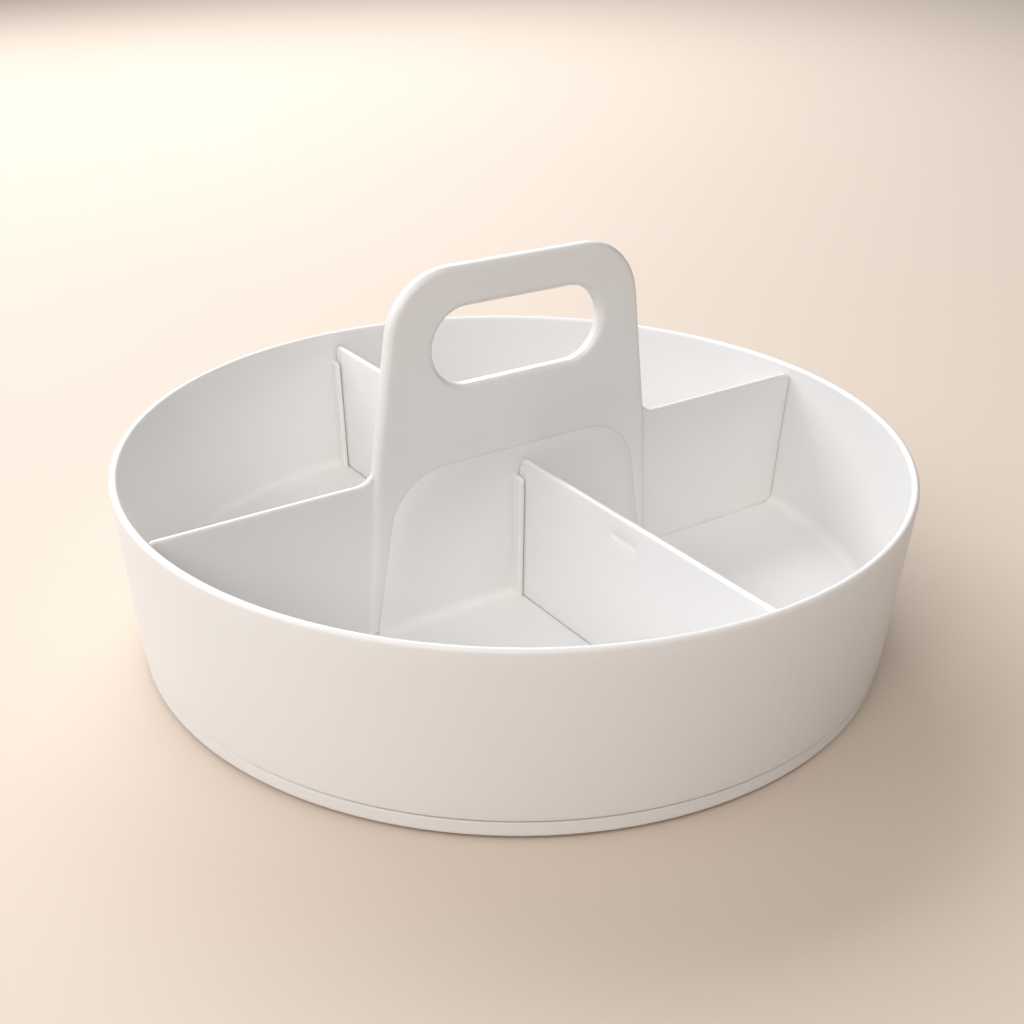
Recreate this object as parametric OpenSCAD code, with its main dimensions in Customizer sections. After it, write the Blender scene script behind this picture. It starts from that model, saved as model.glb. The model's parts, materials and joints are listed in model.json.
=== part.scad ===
// Round caddy on a turntable base: a drafted tub with a central hump, a handle panel that stands
// over the hump, two lift-out dividers, and a flat ball bearing between the tub's floor and a disc
// that stands on rubber feet.
// The underside of the feet is at z = 0 and the turning axis is Z. The panel runs along X, the
// front divider along -Y and the rear divider along +Y.

/* [Tub] */
// Outer diameter at the rim
tub_d = 300; // [240:1:380]
// Outward lean of the wall per millimetre of height
wall_lean = 0.065; // [0.02:0.005:0.2]
// Height of the wall from its bottom edge to the rim
wall_h = 64.6; // [50:0.2:110]
// Thickness of the wall
wall_t = 3; // [2:0.1:4]
// Thickness of the floor
floor_t = 2; // [1.6:0.1:4]
// Radius of the inside corner between floor and wall
corner_r = 4.5; // [2:0.5:8]

/* [Hump] */
// Thickness of the hump across the tub
hump_t = 9.4; // [9:0.1:12]
// Half width of the hump at the floor
hump_half_w = 63.7; // [53:0.1:64]
// Narrowing of each side of the hump per millimetre of height
hump_taper = 0.17; // [0.05:0.01:0.25]
// Height of the hump above the top edge of the wings
hump_rise = 0.9; // [-10:0.1:4]
// Radius of the hump's two top corners
hump_corner_r = 24; // [10:1:28]
// Width of the slope round the hump's faces
hump_slope_w = 9.5; // [4:0.5:10]
// Wall of the hollow hump
hump_wall = 2.2; // [1.8:0.1:2.4]

/* [Handle panel] */
// Drop from the rim to the top edge of the wings
wing_drop = 3; // [1:0.5:10]
// Thickness of the wings
wing_t = 2.6; // [2:0.1:3.6]
// Thickness of the handle plate
plate_t = 6; // [5:0.5:9]
// Height of the handle above the top edge of the wings
handle_rise = 75.1; // [62:0.1:100]
// Half width of the handle plate at the top edge of the wings
handle_half_w = 62.5; // [62:0.5:80]
// Narrowing of each side of the handle plate per millimetre of height, above the wings
handle_taper = 0.14; // [0.02:0.01:0.16]
// Narrowing of each leg's outer side per millimetre of height, beside the hump
leg_taper = 0.08; // [0.06:0.01:0.16]
// Radius of the two top corners of the handle plate
handle_corner_r = 25.5; // [12:0.5:30]
// Radius between the wings' top edge and the sides of the handle plate
wing_fillet_r = 7; // [3:0.5:10]
// Length of the hand slot
slot_l = 74.4; // [60:0.2:80]
// Height of the hand slot
slot_h = 29.4; // [22:0.2:34]
// Drop from the top of the handle to the middle of the hand slot
slot_drop = 30; // [26:0.5:34]
// Depth of the seat in the floor that the panel and the dividers stand in
seat_depth = 0.4; // [0.2:0.1:0.8]
// Distance from the end of a wing's foot to the middle of its locating tab
tab_inset = 10.6; // [9:0.1:12]
// Length of each locating tab
tab_l = 12; // [6:1:16]

/* [Dividers] */
// Thickness of a divider
divider_t = 2.6; // [2:0.1:3.6]
// Drop from the rim to the top edge of a divider
divider_drop = 5.9; // [2:0.1:20]
// Radius of the divider's inner top corner
divider_corner_r = 4.5; // [1:0.5:8]
// Gap between a divider and what stands next to it
divider_gap = 0.3; // [0.2:0.05:0.6]
// Thickness of a guide rib
rib_t = 2.4; // [1.6:0.1:3]
// How far a guide rib stands out
rib_out = 5; // [3:0.5:8]
// Drop from the divider's top edge to the top of a guide rib
rib_drop = 7; // [3:0.5:20]

/* [Turntable base] */
// Height of the base's underside above the table
foot_h = 1.4; // [1.2:0.1:4]
// Thickness of the base's plate
plate_base_t = 1.8; // [1.6:0.1:4]
// Thickness of the base's outer ring
base_rim_t = 2; // [1.6:0.1:3]
// How much smaller the base's radius is than the bottom edge of the wall
base_inset = 0.9; // [0.4:0.1:3]
// Height of the groove between the base's ring and the wall
groove_h = 1; // [0.6:0.1:2]
// Diameter of a rubber foot
foot_d = 14; // [10:0.5:18]
// Depth of the seat that a foot is glued into
foot_seat = 0.6; // [0.4:0.1:1]
// Distance from the base's edge to the middle of a foot
foot_inset = 15.9; // [13:0.1:20]

/* [Bearing] */
// Height between the base's plate and the tub's floor
bearing_h = 3.1; // [2.8:0.1:6]
// Diameter of a ball
ball_d = 3.175; // [2.8:0.025:3.2]
// Number of balls
ball_n = 24; // [12:1:48]
// Distance from the edge of the tub's floor inwards to the balls
race_inset = 32; // [30:0.5:40]
// Depth of each race
race_depth = 0.4; // [0.2:0.05:0.6]
// Thickness of the ball cage
cage_t = 1.2; // [0.8:0.1:1.4]
// Width of the ball cage
cage_w = 14; // [8:0.5:16]
// Diameter of the spigot under the tub's floor
spigot_d = 16; // [12:0.5:18]
// Running clearance of the spigot in its bush
spigot_gap = 0.05; // [0.02:0.01:0.1]
// Wall of the bush
bush_wall = 2; // [1.2:0.1:3]
// Thickness of the base under the bush's flange
hub_t = 1.5; // [1.2:0.1:3]
// Thickness of the retaining washer
washer_t = 1.3; // [1:0.1:3]
// Diameter of the centre screw
screw_d = 3.9; // [3:0.1:5]
// Diameter of a panel screw
panel_screw_d = 2.4; // [2:0.1:2.6]
// Distance from the end of the hump's level top inwards to each panel screw
panel_screw_inset = 4.8; // [3:0.1:8]

/* [Hidden] */
$fn = 96;

white = [0.93, 0.93, 0.92];
steel = [0.72, 0.72, 0.74];
rubber = [0.82, 0.82, 0.8];
acetal = [0.88, 0.88, 0.85];

// Heights, from the table up
plate_z = foot_h + plate_base_t;
tub_z = plate_z + bearing_h;
floor_z = tub_z + floor_t;
seat_z = floor_z - seat_depth;
skirt_z = floor_z;
base_top_z = skirt_z - groove_h;
rim_z = skirt_z + wall_h;
wing_z = rim_z - wing_drop;
divider_z = rim_z - divider_drop;
rib_z = divider_z - rib_drop;
handle_z = wing_z + handle_rise;
hump_z = wing_z + hump_rise;
roof_z = hump_z - hump_wall;
slot_z = handle_z - slot_drop;

// The tub's wall leans outwards
tub_r = tub_d / 2;
function wall_out(z) = tub_r - (rim_z - z) * wall_lean;
function wall_in(z) = wall_out(z) - wall_t;
floor_edge = wall_in(floor_z + corner_r) - corner_r;
function plate_half(z) = handle_half_w + (wing_z - z) * (z > wing_z ? handle_taper : leg_taper);
function hump_half(z) = hump_half_w - (z - floor_z) * hump_taper;

// Radii of the turntable base
base_r = wall_out(skirt_z) - base_inset;
base_corner_r = 1.4;
ring_top_r = 0.7;
nest_gap = 0.9;
floor_r = base_r - base_rim_t - nest_gap;
foot_x = base_r - foot_inset;

// Ball bearing: land, race and ball heights
race_x = floor_r - race_inset;
race_gap = 0.05;
ball_r = ball_d / 2;
groove_r = ball_r + 0.4;
land_z = tub_z - (ball_d - 2 * race_depth + 2 * race_gap);
land_w = 10;
ball_z = (land_z + tub_z) / 2;
pocket_gap = 0.15;

// Centre bearing, worked out downwards from the tub's floor
thrust_gap = 0.3;
flange_t = 0.6;
flange_w = 3;
fit_gap = 0.02;
spigot_r = spigot_d / 2;
bush_r = spigot_r + spigot_gap + bush_wall;
washer_r = bush_r + 3;
pocket_r = washer_r + 1.5;
cap_r = pocket_r + 1.5;
hub_r = cap_r + 2.5;
hub_z = tub_z - thrust_gap - flange_t;
hub_under_z = hub_z - hub_t;
spigot_z = hub_under_z - thrust_gap;
washer_z = spigot_z - washer_t;
cap_t = 0.8;
cap_top_z = washer_z - 0.2;
cap_z = cap_top_z - cap_t;
screw_r = screw_d / 2;
screw_head_r = screw_r + washer_t;
screw_end_z = floor_z - 0.6;

// Panel screws go up through the roof of the hump into the handle plate
panel_screw_r = panel_screw_d / 2;
panel_screw_l = 12;
panel_head_r = panel_screw_r + 1;
panel_head_h = 1.4;
hump_level = hump_half(hump_z - hump_corner_r) - hump_corner_r / cos(atan(hump_taper));
panel_screw_x = hump_level - panel_screw_inset;
core_w = hump_t - 2 * hump_wall;
core_x = hub_r - 4.5;

// Clearances and feet of what stands in the tub
end_gap = 0.3;
seat_gap = 0.15;
foot_end = floor_edge - 1;
tab_x = foot_end - tab_inset;
wing_corner_r = 2.5;
rib_corner_r = 2.5;
through = 1;

function arc(x, y, r, a, b, steps = 10) =
    [for (i = [0:steps]) [x + r * cos(a + (b - a) * i / steps), y + r * sin(a + (b - a) * i / steps)]];

function flip(points) = [for (i = [len(points) - 1:-1:0]) [-points[i][0], points[i][1]]];

// Outline in X and Z, given thickness along Y
module upright(t) {
    rotate([90, 0, 0])
        linear_extrude(height = t, center = true)
            children();
}

// Outline in Y and Z, given thickness along X
module crosswise(t) {
    rotate([90, 0, 90])
        linear_extrude(height = t, center = true)
            children();
}

// Edge of a plate that stands inside the tub, from its foot up the wall to its top corner
function wall_edge(top_z, gap, top_r) =
    let (top_x = wall_in(top_z - top_r) - gap - top_r)
    concat(
        arc(floor_edge, floor_z + corner_r, corner_r - gap, -90, 0),
        arc(top_x, top_z - top_r, top_r, 0, 90, 6)
    );

// Rounded top corner of an outline, given its half width where the corner begins and its taper
function tapered_corner(half, top_z, r, taper) =
    arc(half - r / cos(atan(taper)), top_z - r, r, atan(taper), 90, 16);

// Hollow in the corner between a wing's top edge and the side of the handle plate
function wing_fillet() =
    let (
        z = wing_z + wing_fillet_r,
        slope = atan(handle_taper),
        x = plate_half(z) + wing_fillet_r / cos(slope)
    )
    arc(x, z, wing_fillet_r, 270, 180 + slope);

module tub_profile() {
    rim_r = wall_t / 2;
    edge_r = 0.8;
    polygon(concat(
        [[0, tub_z], [floor_r, tub_z], [floor_r, skirt_z]],
        arc(wall_out(skirt_z) - edge_r, skirt_z + edge_r, edge_r, -90, 0, 4),
        arc(tub_r - rim_r, rim_z - rim_r, rim_r, 0, 180, 12),
        arc(floor_edge, floor_z + corner_r, corner_r, 0, -90),
        [[0, floor_z]]
    ));
}

module race_groove(z) {
    rotate_extrude()
        translate([race_x, z])
            circle(r = groove_r);
}

// Guide rib on the wall, rooted half-way into the wall and the floor
module wall_rib() {
    top_x = wall_in(rib_z) - rib_out + rib_corner_r;
    root_z = floor_z + corner_r;
    crosswise(rib_t)
        polygon(concat(
            [[wall_in(floor_z) - rib_out, floor_z - floor_t / 2]],
            arc(top_x, rib_z - rib_corner_r, rib_corner_r, 180, 90, 6),
            [[wall_in(rib_z) + wall_t / 2, rib_z], [wall_in(root_z) + wall_t / 2, root_z]],
            [[floor_r - wall_t / 2, floor_z - floor_t / 2]]
        ));
}

// Seat in the floor for a foot of the given length and width
module seat(size, x = 0) {
    deep = seat_depth + through;
    translate([x, 0, seat_z + deep / 2])
        cube([size.x, size.y, deep], center = true);
}

module floor_seats() {
    clear = 2 * seat_gap;
    long = 2 * floor_edge + 1;
    leg_x = plate_half(seat_z);
    leg_w = leg_x - hump_half(seat_z);
    seat([divider_t + 2 * divider_gap, long]);
    for (side = [-1, 1]) {
        wing_l = floor_edge + 0.5 - leg_x;
        seat([wing_l, wing_t + clear], side * (leg_x + wing_l / 2));
        seat([leg_w + clear, plate_t + clear], side * (leg_x - leg_w / 2));
    }
}

// Outline of the hump, moved inwards by an inset and outwards by a negative one
module hump_outline(inset, foot_z) {
    r = hump_corner_r - inset;
    top_z = hump_z - inset;
    foot = [[hump_half(foot_z) - inset, foot_z]];
    side = concat(foot, tapered_corner(hump_half(top_z - r) - inset, top_z, r, hump_taper));
    polygon(concat(side, flip(side)));
}

module hump() {
    foot_z = floor_z - floor_t / 2;
    hull() {
        upright(plate_t)
            hump_outline(0, foot_z);
        upright(hump_t)
            hump_outline(hump_slope_w, foot_z);
    }
}

// Hollow of the hump, open below, with solid material round the axis for the spigot
module hump_core() {
    difference() {
        upright(core_w)
            hump_outline(hump_wall, tub_z - through);
        cube([2 * core_x, hump_t, 2 * rim_z], center = true);
    }
}

// Guide rib on the hump
module hump_rib() {
    edge = hump_t / 2 + rib_out;
    crosswise(rib_t)
        polygon(concat(
            [[plate_t / 2, floor_z - floor_t / 2], [edge, floor_z - floor_t / 2]],
            arc(edge - rib_corner_r, rib_z - rib_corner_r, rib_corner_r, 0, 90, 6),
            [[plate_t / 2, rib_z]]
        ));
}

module rib_pair() {
    for (side = [-1, 1])
        translate([side * (divider_t / 2 + divider_gap + rib_t / 2), 0, 0])
            children();
}

module tub() {
    color(white)
    difference() {
        union() {
            difference() {
                rotate_extrude()
                    tub_profile();
                floor_seats();
            }
            hump();
            translate([0, 0, spigot_z])
                cylinder(r = spigot_r, h = floor_z - spigot_z - floor_t / 2);
            for (turn = [0, 180])
                rotate([0, 0, turn])
                    rib_pair() {
                        wall_rib();
                        hump_rib();
                    }
        }
        hump_core();
        race_groove(tub_z + race_depth - groove_r);
        translate([0, 0, spigot_z - through])
            cylinder(r = screw_r + fit_gap, h = screw_end_z - spigot_z + through);
        for (side = [-1, 1]) {
            translate([side * panel_screw_x, 0, roof_z - through])
                cylinder(r = panel_screw_r + 0.2, h = hump_wall + 2 * through);
            translate([side * tab_x, 0, floor_z - floor_t / 2])
                cube([tab_l + 2 * seat_gap, wing_t + 2 * seat_gap, floor_t + through], center = true);
        }
    }
}

module slot_outline() {
    translate([0, slot_z])
        square([slot_l - slot_h, slot_h], center = true);
    for (side = [-1, 1])
        translate([side * (slot_l - slot_h) / 2, slot_z])
            circle(d = slot_h);
}

module sheet_outline() {
    side = concat(
        wall_edge(wing_z, end_gap, wing_corner_r),
        wing_fillet(),
        handle_corner()
    );
    polygon(concat([[foot_end, seat_z]], side, flip(side), [[-foot_end, seat_z]]));
}

function handle_corner() =
    tapered_corner(plate_half(handle_z - handle_corner_r), handle_z, handle_corner_r, handle_taper);

module plate_outline() {
    legs = [[plate_half(seat_z), seat_z], [plate_half(wing_z), wing_z]];
    side = concat(legs, handle_corner());
    polygon(concat(side, flip(side)));
}

module handle_panel() {
    color(white)
    difference() {
        union() {
            upright(wing_t)
                sheet_outline();
            upright(plate_t)
                plate_outline();
            for (side = [-1, 1])
                translate([side * tab_x, 0, floor_z - floor_t / 2 + fit_gap])
                    cube([tab_l, wing_t, floor_t], center = true);
        }
        upright(plate_t + 2 * through) {
            slot_outline();
            hump_outline(-seat_gap, tub_z - through);
        }
        for (side = [-1, 1])
            translate([side * panel_screw_x, 0, hump_z - through])
                cylinder(r = panel_screw_r + fit_gap, h = panel_screw_l + through + 0.5);
    }
}

// A divider stands in front of the hump, so that it lifts straight out
module divider() {
    inner = hump_t / 2 + divider_gap;
    outer = wall_edge(divider_z, divider_gap, wing_corner_r);
    color(white)
    crosswise(divider_t)
        polygon(concat(
            [[inner, seat_z + divider_gap], [foot_end, seat_z + divider_gap]],
            outer,
            arc(inner + divider_corner_r, divider_z - divider_corner_r, divider_corner_r, 90, 180, 6)
        ));
}

module front_divider() {
    rotate([0, 0, 180])
        divider();
}

module rear_divider() {
    divider();
}

module panel_screws() {
    color(steel)
    for (side = [-1, 1])
        translate([side * panel_screw_x, 0, 0]) {
            translate([0, 0, roof_z - panel_head_h])
                cylinder(r = panel_head_r, h = panel_head_h);
            translate([0, 0, roof_z - panel_head_h / 2])
                cylinder(r = panel_screw_r, h = panel_head_h / 2 + hump_wall + panel_screw_l);
        }
}

module centre_screw() {
    color(steel) {
        translate([0, 0, washer_z])
            cylinder(r1 = screw_head_r, r2 = screw_r, h = washer_t);
        translate([0, 0, washer_z + washer_t / 2])
            cylinder(r = screw_r, h = screw_end_z - washer_z - washer_t / 2 - 0.2);
    }
}

module retaining_washer() {
    color(steel)
    difference() {
        translate([0, 0, washer_z])
            cylinder(r = washer_r, h = washer_t);
        translate([0, 0, washer_z])
            cylinder(r1 = screw_head_r + fit_gap, r2 = screw_r + fit_gap, h = washer_t);
        translate([0, 0, washer_z - through])
            cylinder(r = screw_r + fit_gap, h = washer_t + 2 * through);
    }
}

module centre_bush() {
    color(acetal)
    difference() {
        union() {
            translate([0, 0, hub_under_z])
                cylinder(r = bush_r, h = hub_t + flange_t);
            translate([0, 0, hub_z])
                cylinder(r = bush_r + flange_w, h = flange_t);
        }
        translate([0, 0, hub_under_z - through])
            cylinder(r = spigot_r + spigot_gap, h = hub_t + flange_t + 2 * through);
    }
}

module ball_ring() {
    for (i = [0:ball_n - 1])
        rotate([0, 0, (i + 0.5) * 360 / ball_n])
            translate([race_x, 0, ball_z])
                children();
}

module ball_cage() {
    color(acetal)
    difference() {
        rotate_extrude()
            translate([race_x, ball_z])
                square([cage_w, cage_t], center = true);
        ball_ring()
            cylinder(r = ball_r + pocket_gap, h = cage_t + 2 * through, center = true);
    }
}

module bearing_balls() {
    color(steel)
    ball_ring()
        sphere(r = ball_r);
}

module base_profile() {
    polygon(concat(
        [[0, foot_h]],
        arc(base_r - base_corner_r, foot_h + base_corner_r, base_corner_r, -90, 0),
        arc(base_r - ring_top_r, base_top_z - ring_top_r, ring_top_r, 0, 90, 6),
        [[base_r - base_rim_t, base_top_z], [base_r - base_rim_t, plate_z], [0, plate_z]]
    ));
}

module foot_place(i) {
    rotate([0, 0, i * 60])
        translate([foot_x, 0, 0])
            children();
}

module base_disc() {
    color(white)
    difference() {
        union() {
            rotate_extrude()
                base_profile();
            rotate_extrude()
                translate([race_x - land_w / 2, foot_h + plate_base_t / 2])
                    square([land_w, land_z - foot_h - plate_base_t / 2]);
            translate([0, 0, cap_z])
                cylinder(r = hub_r, h = hub_z - cap_z);
        }
        race_groove(land_z - race_depth + groove_r);
        translate([0, 0, cap_z - through])
            cylinder(r = pocket_r, h = hub_under_z - cap_z + through);
        translate([0, 0, cap_z - foot_h])
            cylinder(r = cap_r + fit_gap, h = foot_h + cap_t);
        translate([0, 0, hub_under_z - through])
            cylinder(r = bush_r + fit_gap, h = hub_t + 2 * through);
        for (i = [0:5])
            foot_place(i)
                translate([0, 0, foot_h - through])
                    cylinder(d = foot_d + 0.3, h = foot_seat + through);
    }
}

module base_cap() {
    color(white)
    translate([0, 0, cap_z])
        cylinder(r = cap_r, h = cap_t);
}

module foot_pad(i) {
    edge = 0.5;
    color(rubber)
    foot_place(i) {
        cylinder(r1 = foot_d / 2 - edge, r2 = foot_d / 2, h = edge);
        translate([0, 0, edge])
            cylinder(d = foot_d, h = foot_h + foot_seat - edge);
    }
}

tub();
handle_panel();
front_divider();
rear_divider();
panel_screws();
centre_screw();
retaining_washer();
centre_bush();
ball_cage();
bearing_balls();
base_disc();
base_cap();
foot_pad(0);  // foot_pad_1
foot_pad(1);  // foot_pad_2
foot_pad(2);  // foot_pad_3
foot_pad(3);  // foot_pad_4
foot_pad(4);  // foot_pad_5
foot_pad(5);  // foot_pad_6
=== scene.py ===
"""Round white caddy on a low turntable base: the looks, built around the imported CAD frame.

Sizes are in millimetres until a mesh is made.
"""

from __future__ import annotations

import json
import logging
import math
from dataclasses import dataclass, field
from enum import Enum
from typing import Callable, Iterable, Sequence

import bmesh
import bpy
import numpy as np
from mathutils import Matrix, Vector
from mathutils.geometry import delaunay_2d_cdt


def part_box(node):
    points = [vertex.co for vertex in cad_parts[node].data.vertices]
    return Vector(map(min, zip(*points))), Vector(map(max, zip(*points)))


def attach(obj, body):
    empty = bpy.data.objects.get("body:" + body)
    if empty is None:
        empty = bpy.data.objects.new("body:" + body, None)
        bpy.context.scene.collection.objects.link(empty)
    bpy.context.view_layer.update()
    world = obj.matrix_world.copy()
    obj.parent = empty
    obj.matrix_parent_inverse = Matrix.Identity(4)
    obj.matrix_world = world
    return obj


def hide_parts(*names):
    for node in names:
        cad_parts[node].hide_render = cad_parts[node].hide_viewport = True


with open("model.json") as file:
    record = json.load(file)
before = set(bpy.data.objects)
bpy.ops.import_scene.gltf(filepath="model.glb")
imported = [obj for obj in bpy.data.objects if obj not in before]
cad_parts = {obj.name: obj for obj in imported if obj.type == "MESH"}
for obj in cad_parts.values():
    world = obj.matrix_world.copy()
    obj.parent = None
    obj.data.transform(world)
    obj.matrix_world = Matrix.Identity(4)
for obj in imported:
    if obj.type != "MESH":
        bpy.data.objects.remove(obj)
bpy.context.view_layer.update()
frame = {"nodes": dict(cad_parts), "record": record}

log = logging.getLogger("caddy")
MM = 0.001
THROUGH = 1.0
FINE_STEP = 1.6
FINE_GRID = 2.2
CHUNK = 256
SAME_SPOT = 1e-4
ON_EDGE = 1e-3

Point = tuple[float, float]
HeightField = Callable[[np.ndarray], np.ndarray]


# --- Outlines ---


def arc(x: float, y: float, radius: float, start: float, end: float, steps: int) -> list[Point]:
    """Points along a round stretch of an outline.

    Args:
        x: centre of the arc, first coordinate.
        y: centre of the arc, second coordinate.
        radius: radius of the arc.
        start: first angle in degrees.
        end: last angle in degrees.
        steps: number of spans.

    Returns:
        The points, both ends included.
    """
    angles = np.radians(np.linspace(start, end, steps + 1))
    return [(x + radius * math.cos(a), y + radius * math.sin(a)) for a in angles]


def mirrored(points: Sequence[Point]) -> list[Point]:
    """The points reflected in the second axis, in reverse order."""
    return [(-x, y) for x, y in reversed(points)]


def tapered_corner(half: float, top_z: float, radius: float, taper: float, steps: int = 24) -> list[Point]:
    """Rounded top corner of an upright outline whose side narrows.

    Args:
        half: half width of the outline where the corner begins.
        top_z: height of the outline.
        radius: radius of the corner.
        taper: narrowing of the side per millimetre of height.
        steps: number of spans.

    Returns:
        The points of the corner, from its side to its top.
    """
    lean = math.atan(taper)
    return arc(half - radius / math.cos(lean), top_z - radius, radius, math.degrees(lean), 90, steps)


def refined(points: Sequence[Point], spacing: float, closed: bool = True) -> np.ndarray:
    """Adds points to the long straight spans of an outline.

    Args:
        points: the outline's own points.
        spacing: the longest span that may stay.
        closed: whether the last point joins the first.

    Returns:
        The outline with no span longer than the spacing.
    """
    corners = list(points) + ([points[0]] if closed else [])
    out: list[np.ndarray] = []
    for a, b in zip(corners[:-1], corners[1:]):
        start, end = np.array(a), np.array(b)
        spans = max(1, math.ceil(np.linalg.norm(end - start) / spacing))
        out += [start + (end - start) * i / spans for i in range(spans)]
    if not closed:
        out.append(np.array(points[-1]))
    return np.array(out)


def quarter_steps(count: int) -> np.ndarray:
    """Shares of a rounding radius at which rows of points make an even quarter round."""
    return 1 - np.cos(np.linspace(0, math.pi / 2, count + 1))


@dataclass
class SoftOutline:
    """A closed outline, material on its left, whose edge is rounded by a radius at each point."""

    points: np.ndarray
    radii: np.ndarray

    @classmethod
    def of(cls, points: Sequence[Point], radius: HeightField | float, spacing: float) -> SoftOutline:
        """Builds an outline from its corner points.

        Args:
            points: the outline, material on its left.
            radius: the edge radius, or what gives it at each point.
            spacing: the longest span between points.

        Returns:
            The outline.
        """
        line = refined(points, spacing)
        return cls(line, radius(line) if callable(radius) else np.full(len(line), radius))

    def normals(self) -> np.ndarray:
        """Unit directions into the material at each point."""
        ahead = np.roll(self.points, -1, axis=0) - self.points
        behind = self.points - np.roll(self.points, 1, axis=0)
        ahead /= np.linalg.norm(ahead, axis=1)[:, None]
        behind /= np.linalg.norm(behind, axis=1)[:, None]
        left = np.stack([-(ahead + behind)[:, 1], (ahead + behind)[:, 0]], axis=1)
        return left / np.linalg.norm(left, axis=1)[:, None]

    def ring(self, share: float) -> np.ndarray:
        """The outline moved into the material by a share of its own radii."""
        return self.points + self.normals() * (self.radii * share)[:, None]

    def depth(self, at: np.ndarray) -> tuple[np.ndarray, np.ndarray]:
        """Distance to the outline and the edge radius that holds there.

        Args:
            at: points in the outline's plane.

        Returns:
            Distances, and radii of the nearest stretch.
        """
        a = self.points
        span = np.roll(a, -1, axis=0) - a
        best = np.full(len(at), np.inf)
        radius = np.zeros(len(at))
        after = np.roll(self.radii, -1)
        for start, step, r0, r1 in zip(a, span, self.radii, after):
            t = np.clip((at - start) @ step / (step @ step), 0, 1)
            gap = np.hypot(*(at - start - t[:, None] * step).T)
            near = gap < best
            best[near] = gap[near]
            radius[near] = (r0 + (r1 - r0) * t)[near]
        return best, radius

    def holds(self, at: np.ndarray) -> np.ndarray:
        """Whether each point lies inside the loop, whichever way it runs."""
        x, y = at[:, 0], at[:, 1]
        inside = np.zeros(len(at), bool)
        for (x0, y0), (x1, y1) in zip(self.points, np.roll(self.points, -1, axis=0)):
            if y0 == y1:
                continue
            crosses = (y0 > y) != (y1 > y)
            inside ^= crosses & (x < (x1 - x0) * (y - y0) / (y1 - y0) + x0)
        return inside


def rounded_height(at: np.ndarray, outlines: Sequence[SoftOutline], half: float) -> np.ndarray:
    """Half thickness of a flat plate whose edges are rounded.

    Args:
        at: points in the plate's plane.
        outlines: the plate's outer outline and its holes.
        half: half thickness of the flat part.

    Returns:
        The half thickness at each point.
    """
    height = np.full(len(at), half)
    for outline in outlines:
        gap, radius = outline.depth(at)
        radius = np.maximum(radius, 1e-6)
        rest = 1 - np.clip(gap / radius, 0, 1)
        height = np.minimum(height, half - radius * (1 - np.sqrt(1 - rest**2)))
    return height


def smooth_step(value: np.ndarray) -> np.ndarray:
    """0 to 1 with level ends."""
    t = np.clip(value, 0, 1)
    return t * t * (3 - 2 * t)


def smooth_max(a: np.ndarray, b: np.ndarray, blend: float) -> np.ndarray:
    """The larger of two heights, with a fillet of about the blend where they cross."""
    mix = np.clip(0.5 + 0.5 * (a - b) / blend, 0, 1)
    return b + (a - b) * mix + blend * mix * (1 - mix)


# --- Mesh making ---


class Plane(Enum):
    """The way a plate stands: its outline's two axes and its thickness axis."""

    ALONG_X = Matrix(((1, 0, 0), (0, 0, -1), (0, 1, 0)))
    ALONG_Y = Matrix(((0, 0, -1), (1, 0, 0), (0, 1, 0)))


def new_object(name: str, data: bpy.types.ID) -> bpy.types.Object:
    """Makes an object and links it to the scene."""
    made = bpy.data.objects.new(name, data)
    bpy.context.scene.collection.objects.link(made)
    return made


def new_piece(name: str, points: np.ndarray, faces: Sequence[Sequence[int]]) -> bpy.types.Object:
    """Makes an object from points in millimetres.

    Args:
        name: the piece's name.
        points: the vertices.
        faces: vertex numbers of each face.

    Returns:
        The linked object.
    """
    mesh = bpy.data.meshes.new(name)
    mesh.from_pydata((np.asarray(points) * MM).tolist(), [], [list(f) for f in faces])
    mesh.update()
    return new_object(name, mesh)


def shade(piece: bpy.types.Object, angle: float = 38.0) -> None:
    """Shades a piece smooth and keeps its true edges sharp."""
    mesh = piece.data
    mesh.polygons.foreach_set("use_smooth", [True] * len(mesh.polygons))
    mesh.set_sharp_from_angle(angle=math.radians(angle))
    mesh.update()


class Cut(Enum):
    """How a tool solid meets the piece."""

    JOIN = "UNION"
    REMOVE = "DIFFERENCE"


def discard(tool: bpy.types.Object) -> None:
    """Removes a spent tool and its mesh."""
    spent = tool.data
    bpy.data.objects.remove(tool)
    bpy.data.meshes.remove(spent)


def combine(piece: bpy.types.Object, tools: Iterable[bpy.types.Object], how: Cut) -> None:
    """Joins solids to a piece, or cuts them from it, and removes the tools.

    Args:
        piece: the piece that is changed.
        tools: closed solids.
        how: whether they are joined or removed.
    """
    for tool in tools:
        step = piece.modifiers.new("combine", "BOOLEAN")
        step.operation = how.value
        step.solver = "EXACT"
        step.object = tool
        bpy.context.view_layer.update()
        shaped = piece.evaluated_get(bpy.context.evaluated_depsgraph_get())
        old, made = piece.data, bpy.data.meshes.new_from_object(shaped)
        piece.modifiers.remove(step)
        piece.data = made
        made.name = old.name
        bpy.data.meshes.remove(old)
        discard(tool)


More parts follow.
